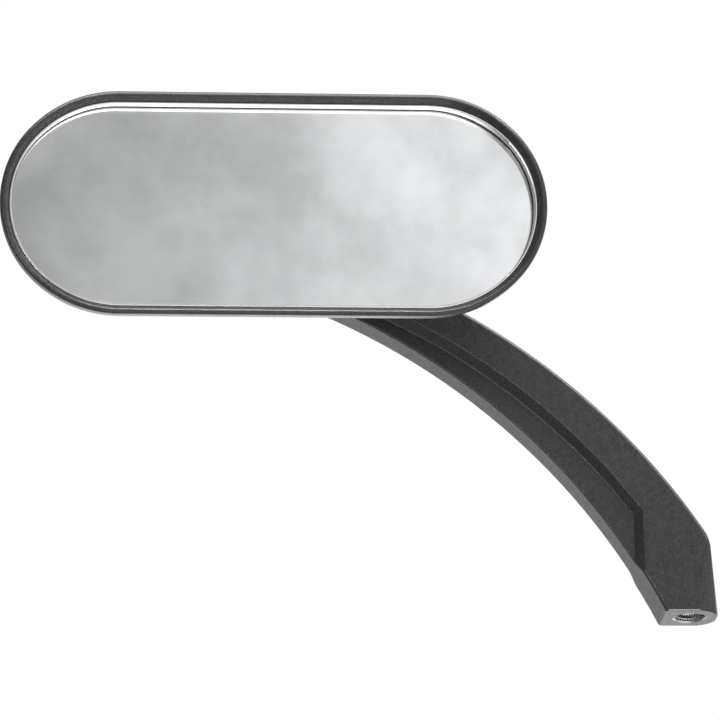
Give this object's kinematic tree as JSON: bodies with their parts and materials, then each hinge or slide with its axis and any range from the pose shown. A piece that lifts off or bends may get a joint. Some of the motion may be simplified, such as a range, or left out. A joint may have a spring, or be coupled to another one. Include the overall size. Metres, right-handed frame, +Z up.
{
  "type": "rear-view mirror",
  "caption": "Oval rear-view mirror head with a flat glass, on a ball swivel at the end of a curved die-cast stem with a tapped lower end.",
  "frame": {"origin": "centre of the tapped hole on the stem's mounting face", "axes": "+Z up along the tapped hole into the stem, +X to the right as the rider sees the mirror, -Y towards the rider"},
  "size_m": [0.1863, 0.0582, 0.1249],
  "materials": {
    "black_coat": "satin",
    "steel": "satin",
    "nylon": "matte",
    "foam": "matte",
    "mirror": "polished",
    "bright": "polished"
  },
  "bodies": {
    "stem": {"stem": "black_coat", "swivel_ball": "steel", "swivel_bolt": "steel", "swivel_lock_washer": "steel"},
    "pan_seat": {"rear_seat": "nylon"},
    "tilt_seat": {"front_seat": "nylon"},
    "head": {"housing": "black_coat", "clamp_plate": "steel", "clamp_washers": "steel", "clamp_lock_washers": "steel", "clamp_screws": "steel", "glass_gasket": "foam", "mirror_glass": "mirror", "trim_ring": "bright"}
  },
  "joints": [
    {"name": "head_pan", "type": "hinge", "parent": "stem", "child": "pan_seat", "pos_m": [-0.1093, -0.0272, 0.0991], "axis": [0, 0, 1], "range_deg": [-12, 12]},
    {"name": "head_tilt", "type": "hinge", "parent": "pan_seat", "child": "tilt_seat", "pos_m": [-0.1093, -0.0272, 0.0991], "axis": [1, 0, 0], "range_deg": [-23.5, 4.5]},
    {"name": "head_roll", "type": "hinge", "parent": "tilt_seat", "child": "head", "pos_m": [-0.1093, -0.0272, 0.0991], "axis": [0, -0.9863, -0.165], "continuous": true}
  ]
}
